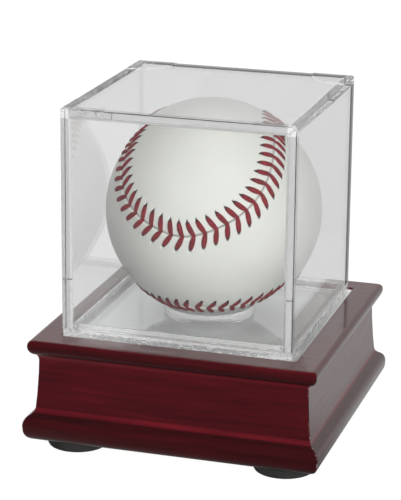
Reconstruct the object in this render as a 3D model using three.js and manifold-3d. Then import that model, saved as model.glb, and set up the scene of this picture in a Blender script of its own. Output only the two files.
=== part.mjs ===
// Baseball display case: a clear five-sided cover on a clear base tray, holding a
// stitched ball on a low clear cradle, standing in the recess of a moulded
// wooden plinth on four rubber feet.
//
// Millimetres, +Z up. Origin: centre of the plinth at the underside of the feet.
// -Y is the front, +X is the right-hand side.

import * as THREE from 'three';
import { mergeVertices } from 'three/addons/utils/BufferGeometryUtils.js';
import Module from 'manifold-3d';

// ---------------------------------------------------------------- dimensions
const FOOT_R = 10.8;            // rubber foot, outer radius
const FOOT_H = 3.8;             // rubber foot, height
const FOOT_AT = 37.5;           // foot centres, from the middle in X and Y
const FOOT_BORE_R = 2.1;
const FOOT_RECESS_R = 4.2;      // counterbore for the screw head
const FOOT_RECESS_H = 2.0;

const WOOD_H = 36.9;            // plinth height without feet
const TOP_Z = FOOT_H + WOOD_H;  // top face of the plinth
const BOARD_T = 5.0;            // top board thickness
const RECESS_HALF = 41.85;      // square recess in the top board
const RECESS_DEPTH = 2.5;
const RAIL_INNER = 42.0;        // inner face of the side mouldings
const RABBET_HALF = 45.2;       // rabbet for the bottom panel
const RABBET_H = 3.2;
const PANEL_HALF = 45.0;
const PANEL_T = 3.0;
const BLOCK_IN = 24.0;          // corner block, inner and outer faces
const BLOCK_OUT = 41.9;
const GLUE = 0.05;              // joint line between glued pieces

const CUBE_X = -0.70;           // the cube sits loose in the recess, off centre
const CUBE_Y = -0.55;
const CUBE_HALF = 41.0;         // clear cube, outer half width
const CUBE_TOP = 80.64;         // above the plinth's top face
const PAD_H = 0.3;              // corner stacking pads on the cover
const PAD_R = 15.0;
const WALL_T = 3.0;             // cover walls and top
const FLANGE_TOP = 2.6;         // top of the tray's flange
const FLOOR_TOP = 0.3;          // tray floor
const PLATE_BOTTOM = -1.7;      // underside of the tray floor
const RIM_OUT = 37.7;           // upstand inside the cover
const RIM_IN = 36.6;
const RIM_TOP = 4.0;
const TRAY_FOOT_R = 14.6;       // quarter-round feet under the tray's corners

const CRADLE_R = 16.0;          // round cradle under the ball
const CRADLE_TOP = 4.2;
const DISH_R = 37.3;            // spherical dish, concentric with the ball

const BALL_Z = 38.4;            // ball centre above the plinth's top face
const LEATHER_R = 36.8;
const LEATHER_IN = 35.5;
const SEAM_B = 0.462;           // seam shape: half waist angle of a panel, radians
const SEAM_SWAY = 0.336;        // seam shape: sideways sway along its length, radians
const SEAM_GAP = 0.7;           // half gap between the two leather panels
const THREAD_R = 0.45;
const THREAD_AT = 36.6;
const WINDING_R = 35.2;
const WINDING_IN = 17.2;
const WINDING_BORE = 1.5;
const SHELL_R = 16.7;
const SHELL_IN = 11.0;
const CORE_R = 10.5;
// how the ball is turned in its dish
const BALL_TURN = new THREE.Quaternion(-0.59690, -0.60362, 0.36090, -0.38615).normalize();

// ------------------------------------------------------------------- helpers
const wasm = await Module();
wasm.setup();

// merge shared corners, drop collapsed triangles and make the faces point out
function closed(geometry) {
  let g = geometry.clone();
  for (const name of Object.keys(g.attributes)) if (name !== 'position') g.deleteAttribute(name);
  g.clearGroups();
  g = mergeVertices(g, 1e-4);
  const index = Array.from(g.index.array);
  const kept = [];
  for (let i = 0; i < index.length; i += 3) {
    const [a, b, c] = [index[i], index[i + 1], index[i + 2]];
    if (a !== b && b !== c && a !== c) kept.push(a, b, c);
  }
  const p = g.attributes.position;
  const A = new THREE.Vector3(), B = new THREE.Vector3(), C = new THREE.Vector3();
  let volume = 0;
  for (let i = 0; i < kept.length; i += 3) {
    A.fromBufferAttribute(p, kept[i]);
    B.fromBufferAttribute(p, kept[i + 1]);
    C.fromBufferAttribute(p, kept[i + 2]);
    volume += A.dot(B.cross(C)) / 6;
  }
  if (volume < 0) {
    for (let i = 0; i < kept.length; i += 3) {
      const t = kept[i + 1];
      kept[i + 1] = kept[i + 2];
      kept[i + 2] = t;
    }
  }
  const out = new THREE.BufferGeometry();
  out.setAttribute('position', new THREE.BufferAttribute(new Float32Array(p.array), 3));
  out.setIndex(kept);
  return out;
}

function toManifold(geometry) {
  const g = closed(geometry);
  return new wasm.Manifold(new wasm.Mesh({
    numProp: 3,
    vertProperties: new Float32Array(g.attributes.position.array),
    triVerts: new Uint32Array(g.index.array),
  }));
}

function fromManifold(solid) {
  const m = solid.getMesh();
  const g = new THREE.BufferGeometry();
  g.setAttribute('position', new THREE.BufferAttribute(new Float32Array(m.vertProperties), 3));
  g.setIndex(Array.from(m.triVerts));
  return g;
}

// a profile of [half width, z] points swept round a square
function squareTurned(profile) {
  const pts = profile.map(([h, z]) => new THREE.Vector2(h * Math.SQRT2, z));
  return closed(new THREE.LatheGeometry(pts, 4, Math.PI / 4).rotateX(Math.PI / 2));
}

// a profile of [radius, z] points turned about Z
function turned(profile, segments) {
  const pts = profile.map(([r, z]) => new THREE.Vector2(r, z));
  return closed(new THREE.LatheGeometry(pts, segments).rotateX(Math.PI / 2));
}

function arc(radius, from, to, steps) {
  // points [r, z] on a circle about the origin, angles from the +Z axis
  const out = [];
  for (let i = 0; i <= steps; i++) {
    const a = from + (to - from) * i / steps;
    out.push([radius * Math.sin(a), radius * Math.cos(a)]);
  }
  return out;
}

function material(color, roughness, metalness = 0, opacity = 1) {
  return new THREE.MeshStandardMaterial({
    color, roughness, metalness, opacity, transparent: opacity < 1,
  });
}

const object = new THREE.Group();

function piece(name, geometry, mat, parent = object) {
  const mesh = new THREE.Mesh(geometry, mat);
  mesh.name = name;
  parent.add(mesh);
  return mesh;
}

const cherry = () => material(0x47201f, 0.25);
const bareWood = () => material(0xb58d5f, 0.8);
const clear = () => material(0xdfe6e8, 0.05, 0, 0.35);
const blackRubber = () => material(0x2b2d2c, 0.8);

// -------------------------------------------------------------------- plinth
const plinth = new THREE.Group();
plinth.position.z = TOP_Z;
object.add(plinth);

// bullnosed top board with the routed recess
piece('top_board', squareTurned([
  [0, -BOARD_T], [49.9, -BOARD_T], [50.45, -4.5], [50.9, -3.8], [51.2, -3.0],
  [51.3, -2.2], [51.25, -1.5], [51.1, -1.0], [50.75, -0.5], [50.3, -0.17], [49.7, 0],
  [RECESS_HALF, 0], [RECESS_HALF, -RECESS_DEPTH], [0, -RECESS_DEPTH],
]), cherry(), plinth);

// side moulding: fillet, slightly flared body, cove and rounded base moulding
const railOuter = [
  [49.2, -BOARD_T - GLUE], [48.6, -5.7], [48.2, -6.5], [48.0, -7.5], [48.1, -12.0],
  [48.6, -20.0], [49.1, -25.0], [49.5, -26.1], [50.5, -27.0], [51.4, -27.7],
  [52.0, -28.3], [52.5, -29.3], [52.8, -30.5], [52.8, -31.5], [52.6, -33.2],
  [52.1, -34.5], [51.4, -35.4], [50.4, -36.1], [49.2, -36.6], [48.0, -WOOD_H],
];
const railInner = [
  [RABBET_HALF, -WOOD_H], [RABBET_HALF, -WOOD_H + RABBET_H],
  [RAIL_INNER, -WOOD_H + RABBET_H], [RAIL_INNER, -BOARD_T - GLUE],
];

// a moulding run along X on the front side, its ends mitred at 45 degrees
function rail() {
  const shape = new THREE.Shape([...railOuter, ...railInner].map(([h, z]) => new THREE.Vector2(h, z)));
  const g = new THREE.ExtrudeGeometry(shape, { depth: 1, steps: 1, bevelEnabled: false });
  const p = g.attributes.position;
  for (let i = 0; i < p.count; i++) {
    const h = p.getX(i), z = p.getY(i), side = p.getZ(i) < 0.5 ? -1 : 1;
    p.setXYZ(i, side * (h - GLUE), -h, z);
  }
  return closed(g);
}
const railNames = ['front_rail', 'right_rail', 'rear_rail', 'left_rail'];
railNames.forEach((name, i) => {
  piece(name, rail(), cherry(), plinth).rotation.z = i * Math.PI / 2;
});

// closing panel in the rabbet, with a clearance hole over each foot
function squareWithHoles(half, holes, depth) {
  const s = new THREE.Shape([[-half, -half], [half, -half], [half, half], [-half, half]]
    .map(([x, y]) => new THREE.Vector2(x, y)));
  for (const [x, y] of holes) {
    s.holes.push(new THREE.Path().absarc(x, y, FOOT_BORE_R, 0, Math.PI * 2, true));
  }
  return closed(new THREE.ExtrudeGeometry(s, {
    depth, steps: 1, bevelEnabled: false, curveSegments: 12,
  }));
}
const corners = [['fl', -1, -1], ['fr', 1, -1], ['rl', -1, 1], ['rr', 1, 1]];
piece('bottom_panel',
  squareWithHoles(PANEL_HALF, corners.map(([, x, y]) => [x * FOOT_AT, y * FOOT_AT]), PANEL_T),
  bareWood()).position.z = FOOT_H;

// glue blocks, feet and their screws
const blockBottom = FOOT_H + RABBET_H + GLUE;
const blockTop = TOP_Z - BOARD_T - GLUE;
const blockMid = (BLOCK_IN + BLOCK_OUT) / 2;
for (const [tag, sx, sy] of corners) {
  const block = piece(`corner_block_${tag}`,
    squareWithHoles((BLOCK_OUT - BLOCK_IN) / 2,
      [[sx * (FOOT_AT - blockMid), sy * (FOOT_AT - blockMid)]], blockTop - blockBottom),
    bareWood());
  block.position.set(sx * blockMid, sy * blockMid, blockBottom);

  const foot = piece(`foot_${tag}`, turned([
    [FOOT_BORE_R, FOOT_RECESS_H], [FOOT_RECESS_R, FOOT_RECESS_H], [FOOT_RECESS_R, 0],
    [FOOT_R - 1.1, 0], [FOOT_R - 0.35, 0.35], [FOOT_R, 1.1],
    [FOOT_R, FOOT_H - GLUE], [FOOT_BORE_R, FOOT_H - GLUE], [FOOT_BORE_R, FOOT_RECESS_H],
  ], 28), blackRubber());
  foot.position.set(sx * FOOT_AT, sy * FOOT_AT, 0);

  const screw = piece(`foot_screw_${tag}`, turned([
    [0, 0.6], [2.6, 0.6], [3.6, 1.2], [3.7, 1.95], [1.75, 1.95], [1.75, 16.0], [0, 18.5],
  ], 12), material(0xb9bcc0, 0.3, 1));
  screw.position.set(sx * FOOT_AT, sy * FOOT_AT, 0);
}

// ---------------------------------------------------------------- clear cube
const cube = new THREE.Group();
cube.position.set(CUBE_X, CUBE_Y, TOP_Z);
object.add(cube);

// a quarter disc whose round side faces the middle of the cube
function quarterDisc(half, radius, bottom, top, sx, sy) {
  const s = new THREE.Shape();
  s.moveTo(0, 0);
  s.lineTo(radius, 0);
  s.absarc(0, 0, radius, 0, Math.PI / 2, false);
  s.lineTo(0, 0);
  const g = new THREE.ExtrudeGeometry(s, {
    depth: top - bottom, steps: 1, bevelEnabled: false, curveSegments: 10,
  });
  const turn = { '-1-1': 0, '1-1': 1, '11': 2, '-11': 3 }[`${sx}${sy}`];
  g.rotateZ(turn * Math.PI / 2);
  g.translate(sx * half, sy * half, bottom);
  return g;
}

let tray = toManifold(squareTurned([
  [0, PLATE_BOTTOM], [CUBE_HALF, PLATE_BOTTOM], [CUBE_HALF, FLANGE_TOP],
  [RIM_OUT, FLANGE_TOP], [RIM_OUT, RIM_TOP], [RIM_IN, RIM_TOP],
  [RIM_IN, FLOOR_TOP], [0, FLOOR_TOP],
]));
for (const [, sx, sy] of corners) {
  tray = tray.add(toManifold(quarterDisc(CUBE_HALF - 0.4, TRAY_FOOT_R,
    -RECESS_DEPTH + GLUE, PLATE_BOTTOM + 0.6, sx, sy)));
}
piece('base_tray', fromManifold(tray), clear(), cube);

const coverTop = CUBE_TOP - PAD_H;
const wallInner = CUBE_HALF - WALL_T;
let cover = toManifold(squareTurned([
  [0, coverTop - WALL_T], [wallInner, coverTop - WALL_T], [wallInner, FLANGE_TOP + GLUE],
  [CUBE_HALF, FLANGE_TOP + GLUE], [CUBE_HALF, coverTop], [0, coverTop],
]));
for (const [, sx, sy] of corners) {
  cover = cover.add(toManifold(quarterDisc(CUBE_HALF - 0.15, PAD_R,
    coverTop - 0.8, CUBE_TOP, sx, sy)));
}
piece('cover', fromManifold(cover), clear(), cube);

const disc = new THREE.CylinderGeometry(CRADLE_R, CRADLE_R, CRADLE_TOP - FLOOR_TOP - GLUE, 64)
  .rotateX(Math.PI / 2).translate(0, 0, (CRADLE_TOP + FLOOR_TOP + GLUE) / 2);
const dish = new THREE.SphereGeometry(DISH_R, 48, 40).rotateX(Math.PI / 2).translate(0, 0, BALL_Z);
piece('ball_cradle', fromManifold(toManifold(disc).subtract(toManifold(dish))), clear(), cube);

// ---------------------------------------------------------------------- ball
const ball = new THREE.Group();
ball.position.set(CUBE_X, CUBE_Y, TOP_Z + BALL_Z);
ball.quaternion.copy(BALL_TURN);
object.add(ball);

// the seam as a closed curve on the unit sphere, t from 0 to 4 pi
function seam(t) {
  const a = Math.PI / 2 - (Math.PI / 2 - SEAM_B) * Math.cos(t);
  const b = t / 2 + SEAM_SWAY * Math.sin(2 * t);
  return new THREE.Vector3(Math.sin(a) * Math.cos(b), Math.sin(a) * Math.sin(b), Math.cos(a));
}
// the seam moved sideways into the panel, by a distance on the unit sphere
function seamInset(t, distance) {
  const p = seam(t);
  const tangent = seam(t + 1e-3).sub(seam(t - 1e-3)).normalize();
  const inward = new THREE.Vector3().crossVectors(tangent, p);
  return p.addScaledVector(inward, distance).normalize();
}

// one figure-of-eight leather panel: a slab bent round the ball between the seam
// and its mirror image in the panel's own middle plane
function leatherPanel() {
  const g = new THREE.BoxGeometry(1, 1, 1, 8, 48, 1);
  const p = g.attributes.position;
  const v = new THREE.Vector3();
  for (let i = 0; i < p.count; i++) {
    const across = 2 * p.getX(i), along = p.getY(i) + 0.5;
    const radius = p.getZ(i) > 0 ? LEATHER_R : LEATHER_IN;
    const edge = seamInset(2 * Math.PI * along, SEAM_GAP / LEATHER_R);
    const end = along < 1e-6 || along > 1 - 1e-6;
    const half = end ? 0 : Math.asin(edge.y);
    const flat = Math.hypot(edge.x, edge.z);
    v.set(edge.x / flat * Math.cos(half * across), Math.sin(half * across),
      edge.z / flat * Math.cos(half * across)).multiplyScalar(radius);
    p.setXYZ(i, v.x, v.y, v.z);
  }
  return closed(g);
}
const leather = () => material(0xe9e8e2, 0.45);
piece('leather_panel_a', leatherPanel(), leather(), ball);
piece('leather_panel_b', leatherPanel(), leather(), ball)
  .quaternion.setFromAxisAngle(new THREE.Vector3(Math.SQRT1_2, Math.SQRT1_2, 0), Math.PI);

// stitching thread laid in the gap between the panels, its two ends meeting
const threadPath = new THREE.CatmullRomCurve3(
  Array.from({ length: 121 }, (_, i) => seam(0.02 + (4 * Math.PI - 0.04) * i / 120)
    .multiplyScalar(THREAD_AT)));
piece('seam_thread', closed(new THREE.ExtrudeGeometry(
  new THREE.Shape().absarc(0, 0, THREAD_R, 0, Math.PI * 2, false), {
    steps: 120, bevelEnabled: false, curveSegments: 6, extrudePath: threadPath,
  })), material(0x9e1b2c, 0.6), ball);

// yarn windings with a small bore to the core, two rubber half shells, cork core
const boreAngle = (r) => Math.PI - Math.asin(WINDING_BORE / r);
piece('yarn_windings', turned([
  ...arc(WINDING_R, 0, boreAngle(WINDING_R), 16),
  ...arc(WINDING_IN, boreAngle(WINDING_IN), 0, 10),
], 24), material(0xcfc8b6, 0.9), ball);
const halfShell = () => turned([
  ...arc(SHELL_R, 0, Math.PI / 2 - 0.01, 6), ...arc(SHELL_IN, Math.PI / 2 - 0.015, 0, 6),
], 20);
piece('rubber_shell_a', halfShell(), blackRubber(), ball);
piece('rubber_shell_b', halfShell(), blackRubber(), ball).rotation.x = Math.PI;
piece('cork_core', closed(new THREE.SphereGeometry(CORE_R, 16, 12)), material(0xb98a56, 0.9), ball);

export default object;
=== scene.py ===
import math

import bmesh
import bpy
import numpy as np
from mathutils import Matrix, Quaternion, Vector


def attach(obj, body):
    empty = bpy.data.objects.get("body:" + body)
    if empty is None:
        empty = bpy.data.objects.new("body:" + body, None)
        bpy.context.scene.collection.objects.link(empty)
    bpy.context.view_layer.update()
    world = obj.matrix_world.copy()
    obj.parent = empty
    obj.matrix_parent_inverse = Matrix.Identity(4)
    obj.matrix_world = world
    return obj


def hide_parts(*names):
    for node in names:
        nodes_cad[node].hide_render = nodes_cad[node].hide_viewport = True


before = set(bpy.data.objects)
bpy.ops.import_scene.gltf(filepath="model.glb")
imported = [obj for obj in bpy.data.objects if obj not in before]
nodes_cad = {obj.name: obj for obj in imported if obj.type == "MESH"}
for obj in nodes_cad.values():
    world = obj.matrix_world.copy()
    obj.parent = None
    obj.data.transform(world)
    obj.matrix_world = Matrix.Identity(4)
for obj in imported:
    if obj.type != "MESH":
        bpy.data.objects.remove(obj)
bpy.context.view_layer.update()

MM = 0.001
TOP = 40.7                 # top face of the plinth, mm above the ground
CUBE = (-0.70, -0.55)      # middle of the clear cube
BALL_C = np.array([CUBE[0], CUBE[1], TOP + 38.4])
BALL_TURN = Quaternion((-0.38615, -0.59690, -0.60362, 0.36090)).normalized()

scene = bpy.context.scene


# ------------------------------------------------------------------ mesh help
def new_object(name, verts, faces, unit=MM):
    mesh = bpy.data.meshes.new(name)
    mesh.from_pydata([tuple(float(c) * unit for c in v) for v in verts], [], faces)
    mesh.update()
    ob = bpy.data.objects.new(name, mesh)
    scene.collection.objects.link(ob)
    return ob


def tidy(ob, sharp=0.6, flat_big=None):
    """Outward normals, smooth shading on curved faces, flat shading on large plane faces."""
    bm = bmesh.new()
    bm.from_mesh(ob.data)
    bmesh.ops.remove_doubles(bm, verts=bm.verts, dist=1e-7)
    bmesh.ops.recalc_face_normals(bm, faces=bm.faces)
    for f in bm.faces:
        f.smooth = True
        if flat_big and max(abs(c) for c in f.normal) > 0.99995:
            f.smooth = False
    for e in bm.edges:
        if len(e.link_faces) == 2:
            e.smooth = e.calc_face_angle(0.0) < sharp
    bm.to_mesh(ob.data)
    bm.free()
    return ob


def finish_piece(ob, body, mat, cad=()):
    ob.data.materials.clear()
    ob.data.materials.append(mat)
    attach(ob, body)
    if cad:
        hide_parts(*cad)
    return ob


def boolean(ob, other, how):
    m = ob.modifiers.new("b", "BOOLEAN")
    m.operation = how
    m.solver = "EXACT"
    m.object = other
    bpy.context.view_layer.update()
    deps = bpy.context.evaluated_depsgraph_get()
    mesh = bpy.data.meshes.new_from_object(ob.evaluated_get(deps))
    ob.modifiers.clear()
    old = ob.data
    ob.data = mesh
    bpy.data.meshes.remove(old)
    bpy.data.objects.remove(other)
    return ob


def spline(points, per=5):
    """Centripetal Catmull-Rom through 2-D points."""
    p = [np.array(q, float) for q in points]
    p = [2 * p[0] - p[1]] + p + [2 * p[-1] - p[-2]]
    out = []
    for i in range(1, len(p) - 2):
        t = [0.0]
        for a, b in ((i - 1, i), (i, i + 1), (i + 1, i + 2)):
            t.append(t[-1] + max(np.linalg.norm(p[b] - p[a]), 1e-9) ** 0.5)
        for k in range(per):
            x = t[1] + (t[2] - t[1]) * k / per
            a1 = (t[1] - x) / (t[1] - t[0]) * p[i - 1] + (x - t[0]) / (t[1] - t[0]) * p[i]
            a2 = (t[2] - x) / (t[2] - t[1]) * p[i] + (x - t[1]) / (t[2] - t[1]) * p[i + 1]
            a3 = (t[3] - x) / (t[3] - t[2]) * p[i + 1] + (x - t[2]) / (t[3] - t[2]) * p[i + 2]
            b1 = (t[2] - x) / (t[2] - t[0]) * a1 + (x - t[0]) / (t[2] - t[0]) * a2
            b2 = (t[3] - x) / (t[3] - t[1]) * a2 + (x - t[1]) / (t[3] - t[1]) * a3
            out.append((t[2] - x) / (t[2] - t[1]) * b1 + (x - t[1]) / (t[2] - t[1]) * b2)
    out.append(p[-2])
    return [tuple(q) for q in out]


def filleted(points, radius, n=4):
    """An open polyline whose inner corners are rounded, with a support point beside each round."""
    pts = [np.array(q, float) for q in points]
    out = [tuple(pts[0])]
    for i in range(1, len(pts) - 1):
        a, b, c = pts[i - 1], pts[i], pts[i + 1]
        r = radius[i] if isinstance(radius, (list, tuple)) else radius
        u, v = a - b, c - b
        lu, lv = np.linalg.norm(u), np.linalg.norm(v)
        u, v = u / lu, v / lv
        half = math.acos(max(-1.0, min(1.0, float(u @ v)))) / 2
        if r <= 0 or half > 1.5:
            out.append(tuple(b))
            continue
        d = min(r / math.tan(half), 0.45 * lu, 0.45 * lv)
        rr = d * math.tan(half)
        bis = (u + v) / np.linalg.norm(u + v)
        o = b + bis * rr / math.sin(half)
        s, e = b + u * d, b + v * d
        if lu - d > 0.3:
            out.append(tuple(s + u * min(0.12, (lu - d) / 3)))
        a0 = math.atan2(*(s - o)[::-1])
        a1 = math.atan2(*(e - o)[::-1])
        da = (a1 - a0 + math.pi) % (2 * math.pi) - math.pi
        for k in range(n + 1):
            w = a0 + da * k / n
            out.append((o[0] + rr * math.cos(w), o[1] + rr * math.sin(w)))
        if lv - d > 0.3:
            out.append(tuple(e + v * min(0.12, (lv - d) / 3)))
    out.append(tuple(pts[-1]))
    return out


def square_ring(h, rc, n=5, support=0.35):
    """A square of half width h with rounded corners, as a loop of points."""
    rc = max(0.02, min(rc, 0.9 * h))
    s = min(support, 0.3 * (h - rc))
    out = []
    for q in range(4):
        ca, sa = math.cos(q * math.pi / 2), math.sin(q * math.pi / 2)
        loc = [(h, h - rc - s)]
        loc += [(h - rc + rc * math.cos(a), h - rc + rc * math.sin(a))
                for a in (math.pi / 2 * k / n for k in range(n + 1))]
        loc.append((h - rc - s, h))
        out += [(ca * x - sa * y, sa * x + ca * y) for x, y in loc]
    return out


def square_loft(name, profile, rc, at=(0, 0, 0), n=5):
    """Square rings of half width and height, first and last closed by a plane cap."""
    verts, faces = [], []
    m = None
    for k, (h, z) in enumerate(profile):
        r = rc[k] if isinstance(rc, (list, tuple)) else rc
        ring = square_ring(h, r, n)
        m = len(ring)
        verts += [(x + at[0], y + at[1], z + at[2]) for x, y in ring]
    for k in range(len(profile) - 1):
        for i in range(m):
            j = (i + 1) % m
            faces.append((k * m + i, k * m + j, (k + 1) * m + j, (k + 1) * m + i))
    faces.append(tuple(reversed(range(m))))
    faces.append(tuple((len(profile) - 1) * m + i for i in range(m)))
    return new_object(name, verts, faces)


def lathe(name, profile, at, segments=96):
    """Profile of radius and height turned about Z; closed where a radius is zero, else a ring."""
    verts, faces, rows = [], [], []
    closed = profile[0][0] > 1e-6
    for r, z in profile:
        if r < 1e-6:
            rows.append([len(verts)])
            verts.append((at[0], at[1], at[2] + z))
        else:
            rows.append(list(range(len(verts), len(verts) + segments)))
            verts += [(at[0] + r * math.cos(2 * math.pi * i / segments),
                       at[1] + r * math.sin(2 * math.pi * i / segments), at[2] + z)
                      for i in range(segments)]
    pairs = list(zip(rows, rows[1:]))
    if closed:
        pairs.append((rows[-1], rows[0]))
    for a, b in pairs:
        for i in range(segments):
            j = (i + 1) % segments
            if len(a) == 1 and len(b) == 1:
                continue
            if len(a) == 1:
                faces.append((a[0], b[j], b[i]))
            elif len(b) == 1:
                faces.append((a[i], a[j], b[0]))
            else:
                faces.append((a[i], a[j], b[j], b[i]))
    return new_object(name, verts, faces)


# -------------------------------------------------------------- material help
def material(name):
    m = bpy.data.materials.new(name)
    m.use_nodes = True
    nt = m.node_tree
    for n in list(nt.nodes):
        nt.nodes.remove(n)
    out = nt.nodes.new("ShaderNodeOutputMaterial")
    return m, nt, out


def add(nt, kind, **values):
    n = nt.nodes.new(kind)
    for k, v in values.items():
        if hasattr(n, k) and k not in ("inputs", "outputs"):
            setattr(n, k, v)
    return n


def put(node, **values):
    for k, v in values.items():
        node.inputs[k.replace("_", " ")].default_value = v
    return node


def math_node(nt, op, a, b=None, clamp=False):
    n = nt.nodes.new("ShaderNodeMath")
    n.operation = op
    n.use_clamp = clamp
    for i, v in enumerate((a, b)):
        if v is None:
            continue
        if isinstance(v, (int, float)):
            n.inputs[i].default_value = v
        else:
            nt.links.new(v, n.inputs[i])
    return n.outputs[0]


def ramp(nt, fac, stops):
    n = nt.nodes.new("ShaderNodeValToRGB")
    cr = n.color_ramp
    while len(cr.elements) < len(stops):
        cr.elements.new(0.5)
    for e, (p, c) in zip(cr.elements, stops):
        e.position = p
        e.color = (c[0], c[1], c[2], 1.0) if isinstance(c, (tuple, list)) else (c, c, c, 1.0)
    nt.links.new(fac, n.inputs["Fac"])
    return n.outputs["Color"]


def mix_color(nt, fac, a, b, how="MIX"):
    n = nt.nodes.new("ShaderNodeMix")
    n.data_type = "RGBA"
    n.blend_type = how
    n.clamp_factor = True
    for sock, v in ((n.inputs[0], fac), (n.inputs[6], a), (n.inputs[7], b)):
        if isinstance(v, (int, float)):
            sock.default_value = v
        elif isinstance(v, tuple):
            sock.default_value = (v[0], v[1], v[2], 1.0)
        else:
            nt.links.new(v, sock)
    return n.outputs[2]


def noise(nt, coord, scale, detail=4.0, rough=0.55, stretch=(1, 1, 1), distortion=0.0):
    mp = nt.nodes.new("ShaderNodeMapping")
    mp.inputs["Scale"].default_value = stretch
    nt.links.new(coord, mp.inputs["Vector"])
    n = nt.nodes.new("ShaderNodeTexNoise")
    n.inputs["Scale"].default_value = scale
    n.inputs["Detail"].default_value = detail
    n.inputs["Roughness"].default_value = rough
    n.inputs["Distortion"].default_value = distortion
    nt.links.new(mp.outputs[0], n.inputs["Vector"])
    return n.outputs["Fac"]


def object_coord(nt):
    return nt.nodes.new("ShaderNodeTexCoord").outputs["Object"]


def bump(nt, height, strength, distance, normal=None):
    n = nt.nodes.new("ShaderNodeBump")
    n.inputs["Strength"].default_value = strength
    n.inputs["Distance"].default_value = distance
    nt.links.new(height, n.inputs["Height"])
    if normal is not None:
        nt.links.new(normal, n.inputs["Normal"])
    return n.outputs["Normal"]


# ------------------------------------------------------------------ materials
def make_lacquer(name, grain_axis, painted_light_by_height, rail_light_and_wear=False):
    """Dark cherry-stained wood under clear gloss lacquer; the grain runs along one object axis.
    The colour factor by height, from the bottom of the piece to its top, is painted light and shade."""
    m, nt, out = material(name)
    co = object_coord(nt)
    along = {"X": (0.06, 1, 1), "Y": (1, 0.06, 1)}[grain_axis]
    g1 = noise(nt, co, 420.0, 5.0, 0.6, along, 0.6)
    g2 = noise(nt, co, 1600.0, 3.0, 0.5, tuple(0.05 if a < 1 else 1 for a in along))
    cloud = noise(nt, co, 28.0, 3.0, 0.5)
    base = ramp(nt, g1, [(0.30, (0.066, 0.0026, 0.0066)), (0.52, (0.100, 0.0038, 0.0090)),
                         (0.72, (0.140, 0.0050, 0.0110))])
    pores = ramp(nt, g2, [(0.28, 0.70), (0.40, 1.0)])
    base = mix_color(nt, 1.0, base, pores, "MULTIPLY")
    shade = ramp(nt, cloud, [(0.3, 0.86), (0.7, 1.12)])
    base = mix_color(nt, 1.0, base, shade, "MULTIPLY")
    p = nt.nodes.new("ShaderNodeBsdfPrincipled")
    sep = nt.nodes.new("ShaderNodeSeparateXYZ")
    nt.links.new(co, sep.inputs[0])
    # painted light and shade: the colour factor by height stands in for highlights on faces turned up and shade on
    # faces turned down
    lo, hi = (-0.037, -0.005) if rail_light_and_wear else ((TOP - 5) * MM, TOP * MM)
    tone = ramp(nt, math_node(nt, "DIVIDE", math_node(nt, "SUBTRACT", sep.outputs[2], lo), hi - lo, clamp=True), painted_light_by_height)
    base = mix_color(nt, 1.0, base, tone, "MULTIPLY")
    # pale specks along the mitre: partly wear, partly a painted highlight of the mitre edge
    if rail_light_and_wear:
        gap = math_node(nt, "ABSOLUTE", math_node(nt, "SUBTRACT",
                        math_node(nt, "ABSOLUTE", sep.outputs[0]),
                        math_node(nt, "ABSOLUTE", sep.outputs[1])))
        near = math_node(nt, "SUBTRACT", 1.0, math_node(nt, "DIVIDE", gap, 0.00042), clamp=True)
        speck = noise(nt, co, 900.0, 3.0, 0.7)
        patch = noise(nt, co, 120.0, 2.0, 0.6)
        s = math_node(nt, "MULTIPLY", near, ramp_fac(nt, speck, 0.50, 0.58))
        s = math_node(nt, "MULTIPLY", s, ramp_fac(nt, patch, 0.44, 0.56))
        base = mix_color(nt, s, base, (0.42, 0.33, 0.31))
    nt.links.new(base, p.inputs["Base Color"])
    rough = ramp_fac(nt, g1, 0.2, 0.9, 0.26, 0.40)
    nt.links.new(rough, p.inputs["Roughness"])
    p.inputs["Specular IOR Level"].default_value = 0.42
    p.inputs["Specular Tint"].default_value = (1.0, 0.22, 0.20, 1.0)
    p.inputs["Coat Weight"].default_value = 1.0
    p.inputs["Coat Roughness"].default_value = 0.075
    p.inputs["Coat IOR"].default_value = 1.5
    h = math_node(nt, "ADD", math_node(nt, "MULTIPLY", g1, 0.6), noise(nt, co, 55.0, 2.0, 0.5))
    nrm = bump(nt, h, 0.10, 0.00022)
    nt.links.new(nrm, p.inputs["Normal"])
    nt.links.new(nrm, p.inputs["Coat Normal"])
    nt.links.new(p.outputs[0], out.inputs["Surface"])
    return m


def ramp_fac(nt, fac, lo, hi, a=0.0, b=1.0):
    n = nt.nodes.new("ShaderNodeMapRange")
    n.interpolation_type = "SMOOTHSTEP"
    n.inputs["From Min"].default_value = lo
    n.inputs["From Max"].default_value = hi
    n.inputs["To Min"].default_value = a
    n.inputs["To Max"].default_value = b
    nt.links.new(fac, n.inputs["Value"])
    return n.outputs["Result"]


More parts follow.
